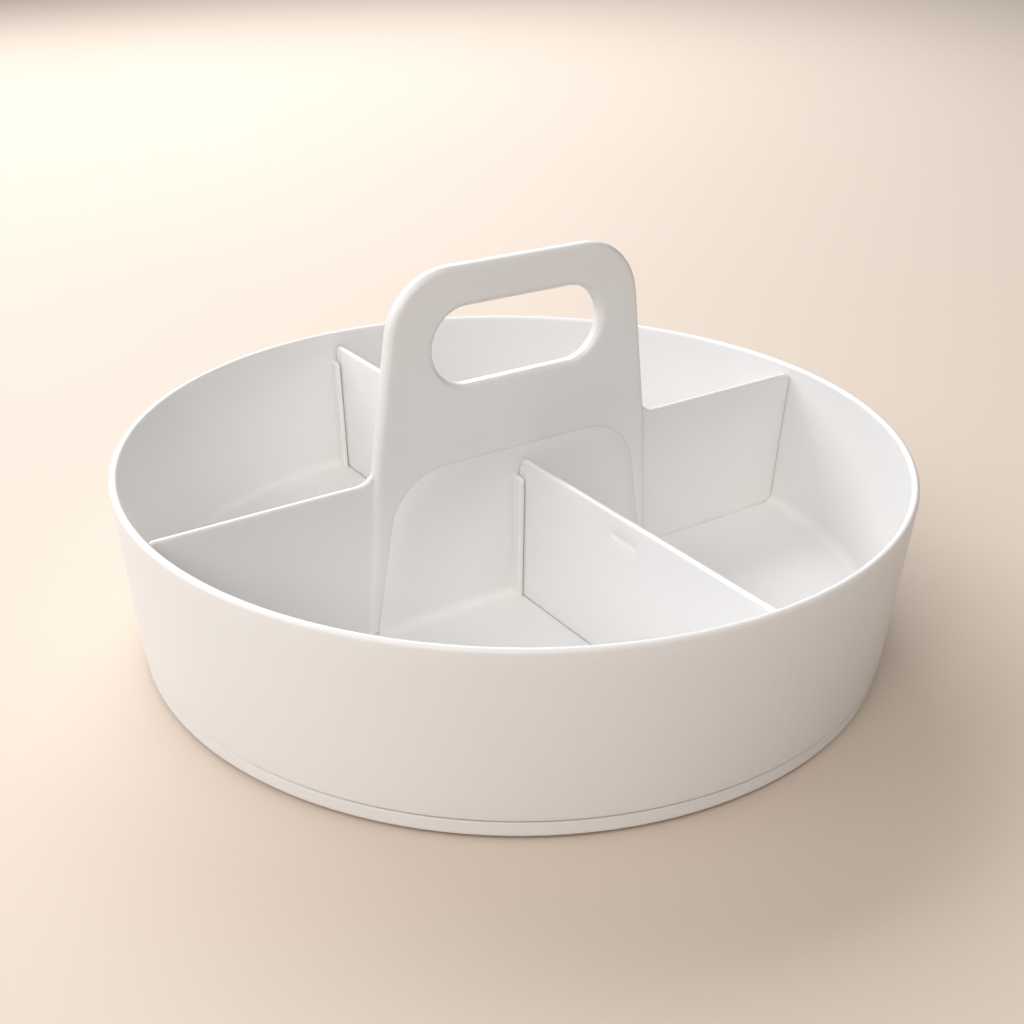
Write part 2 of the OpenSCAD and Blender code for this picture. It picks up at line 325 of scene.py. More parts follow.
@dataclass
class Plate:
    """A moulded plate: two height fields back to back over one outline."""

    outline: SoftOutline
    holes: list[SoftOutline] = field(default_factory=list)
    lines: list[np.ndarray] = field(default_factory=list)
    rows: int = 6
    grid: float = 2.5
    keep_off: float = 0.6

    def _loops(self) -> list[tuple[np.ndarray, bool]]:
        """Every line that the mesh must follow, and whether it closes."""
        loops = [(o.ring(s), True) for o in [self.outline, *self.holes] for s in quarter_steps(self.rows)]
        return loops + [(line, False) for line in self.lines]

    def _inside(self, spots: np.ndarray) -> np.ndarray:
        """Whether each point lies inside the outline and outside the holes."""
        keep = self.outline.holds(spots)
        for hole in self.holes:
            keep &= ~hole.holds(spots)
        return keep

    def _filling(self, taken: np.ndarray) -> np.ndarray:
        """Evenly spaced points that keep clear of the lines."""
        low, high = self.outline.points.min(0), self.outline.points.max(0)
        row_h = self.grid * math.sqrt(3) / 2
        points = []
        for j, y in enumerate(np.arange(low[1] + row_h, high[1], row_h)):
            shift = self.grid / 2 * (j % 2)
            xs = np.arange(low[0] + shift, high[0], self.grid)
            points.append(np.stack([xs, np.full(len(xs), y)], axis=1))
        cloud = np.concatenate(points)
        cloud = cloud[self._inside(cloud)]
        gap = np.full(len(cloud), np.inf)
        for start in range(0, len(taken), CHUNK):
            part = taken[start:start + CHUNK]
            gap = np.minimum(gap, np.hypot(cloud[:, None, 0] - part[None, :, 0],
                                           cloud[:, None, 1] - part[None, :, 1]).min(1))
        return cloud[gap > self.keep_off * self.grid]

    def build(self, name: str, front: HeightField, back: HeightField, plane: Plane) -> bpy.types.Object:
        """Makes the plate.

        Args:
            name: the piece's name.
            front: how far the front face stands from the middle plane.
            back: the same for the back face.
            plane: the way the plate stands.

        Returns:
            The closed mesh object.
        """
        points: list[np.ndarray] = []
        edges: list[tuple[int, int]] = []
        count = 0
        for line, closed in self._loops():
            points.append(line)
            n = len(line)
            edges += [(count + i, count + (i + 1) % n) for i in range(n if closed else n - 1)]
            count += n
        taken = np.concatenate(points)
        cloud = np.concatenate([taken, self._filling(taken)])
        flat, _, triangles, *_ = delaunay_2d_cdt([Vector(p) for p in cloud], edges, [], 0, SAME_SPOT, False)
        at = np.array([tuple(v) for v in flat])
        faces = np.array(triangles)
        faces = faces[self._inside(at[faces].mean(1))]
        used, faces = np.unique(faces, return_inverse=True)
        faces, at = faces.reshape(-1, 3), at[used]
        n = len(at)
        spot = np.vstack([np.column_stack([at, face]) for face in (front(at), -back(at))])
        pairs = {(a, b) for f in faces.tolist() for a, b in zip(f, f[1:] + f[:1])}
        rim = [(a, b) for a, b in pairs if (b, a) not in pairs]
        skin = [tuple(f) for f in faces.tolist()]
        skin += [tuple(v + n for v in reversed(f)) for f in faces.tolist()]
        skin += [(b, a, a + n, b + n) for a, b in rim]
        piece = new_piece(name, spot @ np.array(plane.value).T, skin)
        tidy(piece)
        return piece


def tidy(piece: bpy.types.Object) -> None:
    """Turns every face outwards and merges what lies in one spot."""
    work = bmesh.new()
    work.from_mesh(piece.data)
    bmesh.ops.remove_doubles(work, verts=work.verts, dist=1e-7)
    bmesh.ops.recalc_face_normals(work, faces=work.faces)
    work.to_mesh(piece.data)
    work.free()


@dataclass
class Turned:
    """A body of revolution about the Z axis, with its own spacing round the axis."""

    profile: np.ndarray
    angles: np.ndarray

    @staticmethod
    def around(count: int, fine_at: Sequence[float] = (), reach: float = 2.0, step: float = 0.12
               ) -> np.ndarray:
        """Angles round the axis in degrees, closer together near chosen ones.

        Args:
            count: number of even steps.
            fine_at: angles that get close steps.
            reach: how far the close steps go each side.
            step: the close step.

        Returns:
            The angles in rising order.
        """
        even = np.arange(count) * 360 / count
        for angle in fine_at:
            even = even[np.abs((even - angle + 180) % 360 - 180) > reach + step]
        fine = [(angle + np.arange(-reach, reach + step / 2, step)) % 360 for angle in fine_at]
        return np.unique(np.round(np.concatenate([even, *fine]), 6))

    def build(self, name: str, dent: Callable[[np.ndarray, np.ndarray, np.ndarray], np.ndarray] | None = None
              ) -> bpy.types.Object:
        """Makes the body.

        Args:
            name: the piece's name.
            dent: how far the surface moves outwards at (radius, height, angle).

        Returns:
            The closed mesh object.
        """
        rows, turns = len(self.profile), len(self.angles)
        angle, row = np.meshgrid(np.radians(self.angles), np.arange(rows), indexing="ij")
        radius, height = self.profile[row, 0], self.profile[row, 1]
        if dent is not None:
            radius = radius + np.where(radius > 0, dent(radius, height, angle), 0)
        points = np.stack([radius * np.cos(angle), radius * np.sin(angle), height], axis=-1).reshape(-1, 3)
        faces = []
        for i in range(turns):
            here, there = i * rows, (i + 1) % turns * rows
            for j in range(rows):
                k = (j + 1) % rows
                if self.profile[j, 0] == 0 and self.profile[k, 0] == 0:
                    continue
                faces.append((here + j, there + j, there + k, here + k))
        piece = new_piece(name, points, faces)
        tidy(piece)
        return piece


def rod(name: str, x: float, y: float, low: float, high: float, radius: float) -> bpy.types.Object:
    """A round cutting tool that stands along Z."""
    profile = np.array([(0, low), (radius, low), (radius, high), (0, high)])
    piece = Turned(profile, Turned.around(48)).build(name)
    piece.data.transform(Matrix.Translation((x * MM, y * MM, 0)))
    return piece


def prism(name: str, points: Sequence[Point], low: float, high: float, upright: bool = False
          ) -> bpy.types.Object:
    """A tool solid with straight sides.

    Args:
        name: the tool's name.
        points: its outline in X and Y, or in X and Z when it is upright.
        low: where it starts along its third axis.
        high: where it ends.
        upright: whether it runs along Y instead of Z.

    Returns:
        The closed solid.
    """
    count = len(points)
    rows = [(a, level, b) if upright else (a, b, level) for level in (low, high) for a, b in points]
    sides = [(i, (i + 1) % count, count + (i + 1) % count, count + i) for i in range(count)]
    piece = new_piece(name, np.array(rows), [range(count), range(count, 2 * count), *sides])
    tidy(piece)
    return piece


def rectangle(x: float, y: float, long: float, wide: float) -> list[Point]:
    """Corners of a rectangle about its middle."""
    return [(x + a * long / 2, y + b * wide / 2) for a, b in ((-1, -1), (1, -1), (1, 1), (-1, 1))]


def gathered(tools: Sequence[bpy.types.Object]) -> bpy.types.Object:
    """Puts solids that lie apart into one object."""
    work = bmesh.new()
    for tool in tools:
        work.from_mesh(tool.data)
    work.to_mesh(tools[0].data)
    work.free()
    for tool in tools[1:]:
        discard(tool)
    return tools[0]


# --- Finishes ---


NUMBER_SOCKET = "NodeSocketFloat"
FINE_SHARE = 0.12


class EffectGroup:
    """A shader node group with named inputs and outputs that several finishes share."""

    def __init__(self, name: str, inputs: dict[str, float], outputs: Sequence[str]) -> None:
        """Makes the empty group.

        Args:
            name: the group's name.
            inputs: number inputs and their usual values.
            outputs: number outputs.
        """
        self.tree = bpy.data.node_groups.new(name, "ShaderNodeTree")
        for label, value in inputs.items():
            socket = self.tree.interface.new_socket(label, in_out="INPUT", socket_type=NUMBER_SOCKET)
            socket.default_value = value
        for label in outputs:
            self.tree.interface.new_socket(label, in_out="OUTPUT", socket_type=NUMBER_SOCKET)
        self.given = self.tree.nodes.new("NodeGroupInput")
        self.result = self.tree.nodes.new("NodeGroupOutput")

    def node(self, kind: str, **settings: object) -> bpy.types.Node:
        """Adds a node with its settings."""
        return add_node(self.tree, kind, **settings)

    def link(self, source: bpy.types.NodeSocket, target: bpy.types.NodeSocket) -> None:
        """Joins two sockets."""
        self.tree.links.new(source, target)


def add_node(tree: bpy.types.NodeTree, kind: str, **settings: object) -> bpy.types.Node:
    """Adds a node to a tree.

    Args:
        tree: the node tree.
        kind: the node's type.
        settings: properties, or input values where the name is an input's.

    Returns:
        The node.
    """
    node = tree.nodes.new(kind)
    for key, value in settings.items():
        label = key.replace("_", " ").title()
        if hasattr(node, key):
            setattr(node, key, value)
        elif label in node.inputs:
            node.inputs[label].default_value = value
        else:
            raise KeyError(f"{kind} has neither a setting nor an input named {key}")
    return node


def mould_grain() -> EffectGroup:
    """Fine spark-eroded mould texture: a height and a tone."""
    group = EffectGroup("mould_grain", {"Scale": 900.0, "Wave": 14.0}, ["Height", "Tone"])
    place = group.node("ShaderNodeTexCoord")
    fine = group.node("ShaderNodeTexNoise", detail=3.0, roughness=0.6)
    wave = group.node("ShaderNodeTexNoise", detail=2.0, roughness=0.45)
    blend = group.node("ShaderNodeMath", operation="MULTIPLY_ADD")
    blend.inputs[1].default_value = FINE_SHARE
    for source, scale in ((fine, "Scale"), (wave, "Wave")):
        group.link(place.outputs["Object"], source.inputs["Vector"])
        group.link(group.given.outputs[scale], source.inputs["Scale"])
    group.link(fine.outputs["Fac"], blend.inputs[0])
    group.link(wave.outputs["Fac"], blend.inputs[2])
    group.link(blend.outputs[0], group.result.inputs["Height"])
    group.link(wave.outputs["Fac"], group.result.inputs["Tone"])
    return group


def handling_marks() -> EffectGroup:
    """Hairline scuffs and dust from use: a mask."""
    group = EffectGroup("handling_marks", {"Scale": 60.0, "Stretch": 9.0}, ["Mask"])
    place = group.node("ShaderNodeTexCoord")
    warp = group.node("ShaderNodeMapping")
    along = group.node("ShaderNodeCombineXYZ", x=1.0, y=1.0)
    lines = group.node("ShaderNodeTexNoise", detail=4.0, roughness=0.7)
    patches = group.node("ShaderNodeTexNoise", scale=7.0, detail=1.0)
    cut = group.node("ShaderNodeMapRange", from_min=0.66, from_max=0.78)
    where = group.node("ShaderNodeMapRange", from_min=0.5, from_max=0.7)
    both = group.node("ShaderNodeMath", operation="MULTIPLY")
    group.link(group.given.outputs["Stretch"], along.inputs["Z"])
    group.link(along.outputs[0], warp.inputs["Scale"])
    group.link(place.outputs["Object"], warp.inputs["Vector"])
    group.link(warp.outputs[0], lines.inputs["Vector"])
    group.link(group.given.outputs["Scale"], lines.inputs["Scale"])
    group.link(place.outputs["Object"], patches.inputs["Vector"])
    group.link(lines.outputs["Fac"], cut.inputs["Value"])
    group.link(patches.outputs["Fac"], where.inputs["Value"])
    group.link(cut.outputs[0], both.inputs[0])
    group.link(where.outputs[0], both.inputs[1])
    group.link(both.outputs[0], group.result.inputs["Mask"])
    return group


GRAIN = mould_grain()
MARKS = handling_marks()

Colour = tuple[float, float, float]


@dataclass(frozen=True)
class Finish:
    """A moulded or machined surface with grain, slow tone changes and handling marks."""

    name: str
    colour: Colour
    tint: Colour
    roughness: float
    spread: float = 0.06
    metallic: float = 0.0
    specular: float = 0.5
    soft: float = 0.0
    soft_depth: float = 0.0015
    grain_scale: float = 900.0
    grain_depth: float = 0.00002
    wave_scale: float = 14.0
    marks: float = 0.05

    def material(self) -> bpy.types.Material:
        """Builds the material.

        Returns:
            The node material.
        """
        made = bpy.data.materials.new(self.name)
        made.use_nodes = True
        tree = made.node_tree
        shader = tree.nodes["Principled BSDF"]
        settings = {"Metallic": self.metallic, "Specular IOR Level": self.specular,
                    "Subsurface Weight": self.soft, "Subsurface Radius": (1.0, 0.85, 0.7),
                    "Subsurface Scale": self.soft_depth}
        for label, value in settings.items():
            shader.inputs[label].default_value = value
        grain = add_node(tree, "ShaderNodeGroup", node_tree=GRAIN.tree, scale=self.grain_scale,
                         wave=self.wave_scale)
        marks = add_node(tree, "ShaderNodeGroup", node_tree=MARKS.tree)
        tone = add_node(tree, "ShaderNodeMix", data_type="RGBA")
        tone.inputs["A"].default_value = (*self.colour, 1)
        tone.inputs["B"].default_value = (*self.tint, 1)
        half = self.spread / 2
        rough = add_node(tree, "ShaderNodeMapRange", from_min=0.3, from_max=0.7,
                         to_min=self.roughness - half, to_max=self.roughness + half)
        scuffed = add_node(tree, "ShaderNodeMath", operation="MULTIPLY_ADD")
        scuffed.inputs[1].default_value = self.marks
        bump = add_node(tree, "ShaderNodeBump", strength=1.0, distance=self.grain_depth)
        link = tree.links.new
        link(grain.outputs["Tone"], tone.inputs["Factor"])
        link(tone.outputs["Result"], shader.inputs["Base Color"])
        link(grain.outputs["Tone"], rough.inputs["Value"])
        link(marks.outputs["Mask"], scuffed.inputs[0])
        link(rough.outputs[0], scuffed.inputs[2])
        link(scuffed.outputs[0], shader.inputs["Roughness"])
        link(grain.outputs["Height"], bump.inputs["Height"])
        link(bump.outputs[0], shader.inputs["Normal"])
        return made

    def cover(self, piece: bpy.types.Object) -> None:
        """Puts the finish on a piece."""
        piece.data.materials.clear()
        piece.data.materials.append(self.material())

    def dress(self, piece: bpy.types.Object, slot: str) -> None:
        """Puts the finish on a piece."""
        self.cover(piece)


WHITE: Colour = (0.83, 0.82, 0.81)
SATIN_TUB = Finish("satin_white_tub", WHITE, (0.80, 0.79, 0.775), 0.32, soft=0.05)
SATIN_PANEL = Finish("satin_white_panel", WHITE, (0.80, 0.79, 0.775), 0.3, soft=0.05)
SATIN_DIVIDER = Finish("satin_white_divider", WHITE, (0.81, 0.80, 0.79), 0.3, soft=0.05)
SATIN_BASE = Finish("satin_white_base", (0.81, 0.80, 0.785), (0.79, 0.775, 0.76), 0.45, soft=0.05)
RUBBER = Finish("pale_rubber", (0.52, 0.51, 0.49), (0.47, 0.46, 0.44), 0.82, grain_scale=1400.0,
                grain_depth=0.00006, specular=0.3)
ACETAL = Finish("natural_acetal", (0.74, 0.73, 0.69), (0.71, 0.69, 0.65), 0.4, soft=0.08)
ZINC = Finish("zinc_plate", (0.62, 0.62, 0.64), (0.55, 0.55, 0.58), 0.3, metallic=1.0, grain_scale=2200.0)
BALL = Finish("bearing_steel", (0.7, 0.7, 0.72), (0.66, 0.66, 0.69), 0.1, metallic=1.0, grain_depth=0.000002)


# --- Shared sizes ---


@dataclass(frozen=True)
class Layout:
    """Driving dimensions that more than one piece uses."""

    tub_d: float = 300.0
    wall_lean: float = 0.065
    wall_t: float = 3.0
    floor_t: float = 2.0
    corner_r: float = 4.5
    wing_t: float = 2.6
    plate_t: float = 6.0
    divider_t: float = 2.6
    gap: float = 0.3
    rib_t: float = 2.4
    rib_out: float = 5.0
    rib_drop: float = 7.0
    base_inset: float = 0.9
    base_rim_t: float = 2.0
    nest_gap: float = 0.9
    race_inset: float = 32.0
    race_depth: float = 0.4
    ball_d: float = 3.175
    seat_depth: float = 0.4
    seat_gap: float = 0.15
    tab_inset: float = 10.6
    tab_l: float = 12.0
    wing_drop: float = 3.0
    wing_corner_r: float = 2.5

    @staticmethod
    def top(node: str) -> float:
        """Highest point of a CAD node."""
        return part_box(node)[1].z / MM

    @staticmethod
    def low(node: str) -> float:
        """Lowest point of a CAD node."""
        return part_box(node)[0].z / MM

    @property
    def rim_z(self) -> float:
        """Height of the tub's rim."""
        return self.top("tub")

    @property
    def floor_z(self) -> float:
        """Height of the floor inside the tub."""
        return self.seat_z + self.seat_depth

    @property
    def seat_z(self) -> float:
        """Height of the seats that the panel and the dividers stand in."""
        return self.low("front_divider") - self.gap

    @property
    def wing_z(self) -> float:
        """Height of the wings' top edge."""
        return self.rim_z - self.wing_drop

    @property
    def tub_z(self) -> float:
        """Height of the floor's underside."""
        return self.floor_z - self.floor_t

    @property
    def divider_z(self) -> float:
        """Height of the dividers' top edge."""
        return self.top("front_divider")

    @property
    def rib_z(self) -> float:
        """Height of the guide ribs."""
        return self.divider_z - self.rib_drop

    @property
    def skirt_z(self) -> float:
        """Bottom edge of the tub's wall."""
        return self.floor_z

    @property
    def base_r(self) -> float:
        """Outer radius of the base."""
        return self.wall_out(self.skirt_z) - self.base_inset

    @property
    def nest_r(self) -> float:
        """Radius of the floor's step that sits inside the base's ring."""
        return self.base_r - self.base_rim_t - self.nest_gap

    def wall_out(self, z: float) -> float:
        """Outer radius of the leaning wall at a height."""
        return self.tub_d / 2 - (self.rim_z - z) * self.wall_lean

    def wall_in(self, z: float) -> float:
        """Inner radius of the leaning wall at a height."""
        return self.wall_out(z) - self.wall_t

    @property
    def race_x(self) -> float:
        """Radius of the ball race."""
        return self.nest_r - self.race_inset

    @property
    def floor_edge(self) -> float:
        """Radius where the level floor ends."""
        return self.wall_in(self.floor_z + self.corner_r) - self.corner_r

    @property
    def foot_end(self) -> float:
        """Distance from the axis to the end of a wing's or divider's foot."""
        return self.floor_edge - 1

    @property
    def tab_x(self) -> float:
        """Distance from the axis to the middle of a locating tab."""
        return self.foot_end - self.tab_inset

    def rib_places(self) -> tuple[float, float]:
        """Where the two guide ribs of a pair stand, across the divider."""
        side = self.divider_t / 2 + self.gap + self.rib_t / 2
        return -side, side

    def wall_edge(self, top_z: float) -> list[Point]:
        """Edge of a plate of a given height, from its foot up the wall to its top corner."""
        corner = self.wing_corner_r
        top_x = self.wall_in(top_z - corner) - self.gap - corner
        return (arc(self.floor_edge, self.floor_z + self.corner_r, self.corner_r - self.gap, -90, 0, 12)
                + arc(top_x, top_z - corner, corner, 0, 90, 10))


# --- The caddy's pieces ---


@dataclass
class Hump:
    """The hollow hump on the tub's floor that the handle panel stands over."""

    at: Layout
    half_w: float = 63.7
    taper: float = 0.17
    rise: float = 0.9
    corner_r: float = 24.0
    thickness: float = 9.4
    foot_below: float = 30.0
    slope_w: float = 9.5
    slope_power: float = 3.0
    wall: float = 2.2
    fillet: float = 4.0
    solid_core: float = 14.05
    edge_r: float = 0.05
    rib_fade: float = 1.2
    slope_rows: tuple[float, ...] = (0.04, 0.14, 0.26, 0.38, 0.5, 0.62, 0.74, 0.86, 1.0)
    fillet_rows: int = 8
    row_inset: float = 0.4
    screw_inset: float = 4.8
    screw_r: float = 1.4

    @property
    def top_z(self) -> float:
        """Height of the hump."""
        return self.at.wing_z + self.rise

    @property
    def screw_x(self) -> float:
        """Distance from the axis to each panel screw."""
        level = self.half(self.top_z - self.corner_r) - self.corner_r / math.cos(math.atan(self.taper))
        return level - self.screw_inset

    def half(self, z: float) -> float:
        """Half width at a height."""
        return self.half_w - (z - self.at.floor_z) * self.taper

    def side(self, inset: float, low: float) -> list[Point]:
        """The right half of the outline, from its foot to its level top.

        Args:
            inset: how far it lies inside the hump's own outline.
            low: height of its foot.

        Returns:
            The points.
        """
        radius, top_z = self.corner_r - inset, self.top_z - inset
        corner = tapered_corner(self.half(top_z - radius) - inset, top_z, radius, self.taper)
        return [(self.half(low) - inset, low), *corner]

    def outline(self, inset: float, low: float) -> list[Point]:
        """The whole outline, material on its left."""
        side = self.side(inset, low)
        return [*side, *mirrored(side)]

    def solid(self) -> bpy.types.Object:
        """The hump as a closed solid that is rooted in the floor."""
        at = self.at
        foot = at.floor_z - at.floor_t / 2
        edge = SoftOutline.of(self.outline(0, foot), self.edge_r, FINE_STEP)
        slope = SoftOutline.of(self.outline(0, foot - self.foot_below), self.slope_w, FINE_STEP)
        drop = (self.thickness - at.plate_t) / 2
        rib_far = at.rib_places()[1]

        def face(spots: np.ndarray) -> np.ndarray:
            """Half thickness: level in the middle, sloping round its edge, hollowed out at the floor."""
            inside, _ = slope.depth(spots)
            inside = np.where(slope.holds(spots), inside, 0)
            rest = np.clip(1 - inside / self.slope_w, 0, 1)
            level = self.thickness / 2 - drop * rest ** self.slope_power
            up = np.clip(1 - (spots[:, 1] - at.floor_z) / self.fillet, 0, 1)
            beside_rib = np.abs(spots[:, 0]) / rib_far * 2 - self.rib_fade
            spread = smooth_step(inside / self.slope_w) * smooth_step(beside_rib)
            return level + self.fillet * (1 - np.sqrt(1 - up ** 2)) * spread

        lines = []
        for share in self.slope_rows:
            ring = slope.ring(share)
            lines.append(opened(ring[ring[:, 1] > foot + 0.2]))
        for turn in np.linspace(0, math.pi / 2, self.fillet_rows):
            z = at.floor_z + self.fillet * (1 - math.sin(turn))
            reach = self.half(z) - self.row_inset
            lines.append(refined([(-reach, z), (reach, z)], FINE_STEP, closed=False))
        return Plate(edge, lines=lines, rows=1, grid=FINE_GRID).build("hump", face, face, Plane.ALONG_X)

    def hollow(self) -> bpy.types.Object:
        """The space inside the hump, on both sides of its solid middle."""
        half_t = self.thickness / 2 - self.wall
        low = self.at.tub_z - THROUGH
        side = [(self.solid_core, low), *self.side(self.wall, low), (self.solid_core, self.top_z - self.wall)]
        pockets = [prism("hollow", points, -half_t, half_t, True) for points in (side, mirrored(side))]
        return gathered(pockets)

    def screw_holes(self, radius: float, high: float) -> bpy.types.Object:
        """Holes for the panel screws, up through the hump's roof.

        Args:
            radius: radius of a hole.
            high: where the holes end.

        Returns:
            The tool.
        """
        low = self.top_z - self.wall - THROUGH
        return gathered([rod("screw_hole", x, 0, low, high, radius) for x in (-self.screw_x, self.screw_x)])


def opened(line: np.ndarray) -> np.ndarray:
    """A line that starts after its longest jump, so that it runs without one."""
    jumps = np.linalg.norm(np.roll(line, -1, axis=0) - line, axis=1)
    return np.roll(line, -(int(jumps.argmax()) + 1), axis=0)


@dataclass
class Tub:
    """The round tub: leaning wall, rounded rim, floor with a hump and an upper ball race, guide ribs."""

    at: Layout
    hump: Hump
    sink_depth: float = 0.07
    sink_width: float = 1.5
    sink_fade: float = 8.0
    sink_margin: float = 0.6
    sink_low: float = 1.0
    sink_high: float = 3.0
    spigot_r: float = 8.0
    spigot_bevel: float = 0.3
    groove_gap: float = 0.4
    edge_r: float = 0.8
    rib_corner_r: float = 2.5
    rib_root: float = 1.0
    rib_edge: float = 0.7
    screw_r: float = 1.97
    screw_end: float = 0.6
    profile_step: float = 6.0
    turn_steps: int = 300

    def profile(self) -> np.ndarray:
        """Half section through the wall and the floor."""
        at = self.at
        groove_r = at.ball_d / 2 + self.groove_gap
        depth = at.race_depth
        half = math.degrees(math.acos(1 - depth / groove_r))
        race = arc(at.race_x, at.tub_z + depth - groove_r, groove_r, 90 + half, 90 - half, 10)
        rim_r = at.wall_t / 2
        low, bevel = at.low("tub"), self.spigot_bevel
        points = [(0.0, low), (self.spigot_r - bevel, low), (self.spigot_r, low + bevel),
                  (self.spigot_r, at.tub_z), *race, (at.nest_r, at.tub_z), (at.nest_r, at.skirt_z)]
        points += arc(at.wall_out(at.skirt_z) - self.edge_r, at.skirt_z + self.edge_r, self.edge_r, -90, 0, 6)
        points += arc(at.tub_d / 2 - rim_r, at.rim_z - rim_r, rim_r, 0, 180, 20)
        points += [*arc(at.floor_edge, at.floor_z + at.corner_r, at.corner_r, 0, -90, 12), (0.0, at.floor_z)]
        return refined(points, self.profile_step)

    def sinks(self, radius: np.ndarray, height: np.ndarray, angle: np.ndarray) -> np.ndarray:
        """Shallow dents on the outside, behind the ribs that stand on the inside.

        Args:
            radius: distance from the axis.
            height: height above the table.
            angle: angle round the axis, in radians.

        Returns:
            How far the surface moves outwards.
        """
        at = self.at
        outside = radius > at.wall_out(0.0) - self.sink_margin
        fade = (smooth_step((height - at.skirt_z - self.sink_low) / self.sink_fade)
                * smooth_step((at.rib_z + self.sink_high - height) / self.sink_fade))
        dent = np.zeros_like(radius)
        for centre in (-90, 0, 90, 180):
            for place in at.rib_places():
                off = (np.degrees(angle) - centre + 180) % 360 - 180
                across = np.radians(off) * radius - place
                dent -= self.sink_depth * np.exp(-(across / self.sink_width) ** 2)
        return np.where(outside, dent * fade, 0)

    def wall_rib(self) -> list[Point]:
        """Outline of a guide rib on the wall, rooted in the wall and the floor."""
        at = self.at
        top_x = at.wall_in(at.rib_z) - at.rib_out + self.rib_corner_r
        root = at.floor_z + at.corner_r
        foot, deep = at.floor_z - self.rib_root, at.wall_t / 2
        points = [(at.wall_in(at.floor_z) - at.rib_out, foot), (at.nest_r - deep, foot),
                  (at.wall_in(root) + deep, root), (at.wall_in(at.rib_z) + deep, at.rib_z)]
        return points + arc(top_x, at.rib_z - self.rib_corner_r, self.rib_corner_r, 90, 180, 8)

    def hump_rib(self) -> list[Point]:
        """Outline of a guide rib on the hump."""
        at = self.at
        edge = self.hump.thickness / 2 + at.rib_out
        top = arc(edge - self.rib_corner_r, at.rib_z - self.rib_corner_r, self.rib_corner_r, 0, 90, 8)
        foot, inner = at.floor_z - self.rib_root, at.plate_t / 3
        return [(inner, foot), (edge, foot), *top, (inner, at.rib_z)]

    def rib(self, points: list[Point], turn: float, place: float) -> bpy.types.Object:
        """One guide rib.

        Args:
            points: its outline.
            turn: angle of the pair round the axis, 0 at the rear.
            place: offset across the divider.

        Returns:
            The rib as a closed solid.
        """
        at = self.at
        outline = SoftOutline.of(points, self.rib_edge, 3.0)

        def height(spots: np.ndarray) -> np.ndarray:
            """Half thickness of the rib."""
            return rounded_height(spots, [outline], at.rib_t / 2)

        rib = Plate(outline, rows=4, grid=3.0).build("rib", height, height, Plane.ALONG_Y)
        rib.data.transform(Matrix.Translation((place * MM, 0, 0)))
        rib.data.transform(Matrix.Rotation(math.radians(turn), 4, "Z"))
        return rib

    def build(self) -> bpy.types.Object:
        """Makes the tub, its ribs and its holes."""
        at = self.at
        fine = Turned.around(self.turn_steps, (0, 90, 180, 270), reach=3.0, step=0.2)
        tub = Turned(self.profile(), fine).build("tub_moulding", self.sinks)
        ribs = [self.rib(points, turn, place) for points in (self.wall_rib(), self.hump_rib())
                for turn in (0, 180) for place in at.rib_places()]
        holes = [rod("screw_bore", 0, 0, at.low("tub") - THROUGH, at.floor_z - self.screw_end, self.screw_r)]
        clear = 2 * at.seat_gap
        holes += [prism("tab_slot", rectangle(side * at.tab_x, 0, at.tab_l + clear, at.wing_t + clear),
                        at.tub_z - THROUGH, at.floor_z + THROUGH) for side in (-1, 1)]
        combine(tub, [self.seats()], Cut.REMOVE)
        combine(tub, [self.hump.solid(), gathered(ribs)], Cut.JOIN)
        combine(tub, [self.hump.hollow(), gathered(holes),
                      self.hump.screw_holes(self.hump.screw_r, self.hump.top_z + THROUGH)], Cut.REMOVE)
        shade(tub)
        return tub

    def seats(self) -> bpy.types.Object:
        """Shallow seats in the floor for the dividers, the wings and the legs of the panel."""
        at = self.at
        gap = at.seat_gap
        leg_out, leg_in = HandlePanel(at, self.hump).side(at.seat_z), self.hump.half(at.seat_z) - gap
        far, thin, thick = at.floor_edge + 0.5, at.wing_t / 2 + gap, at.plate_t / 2 + gap
        foot = [(leg_in, -thick), (leg_out + gap, -thick), (leg_out + gap, -thin), (far, -thin), (far, thin),
                (leg_out + gap, thin), (leg_out + gap, thick), (leg_in, thick)]
        strip = rectangle(0, 0, at.divider_t + 2 * at.gap, 2 * far)
        return gathered([prism("seat", points, at.seat_z, at.floor_z + THROUGH)
                         for points in (strip, foot, mirrored(foot))])


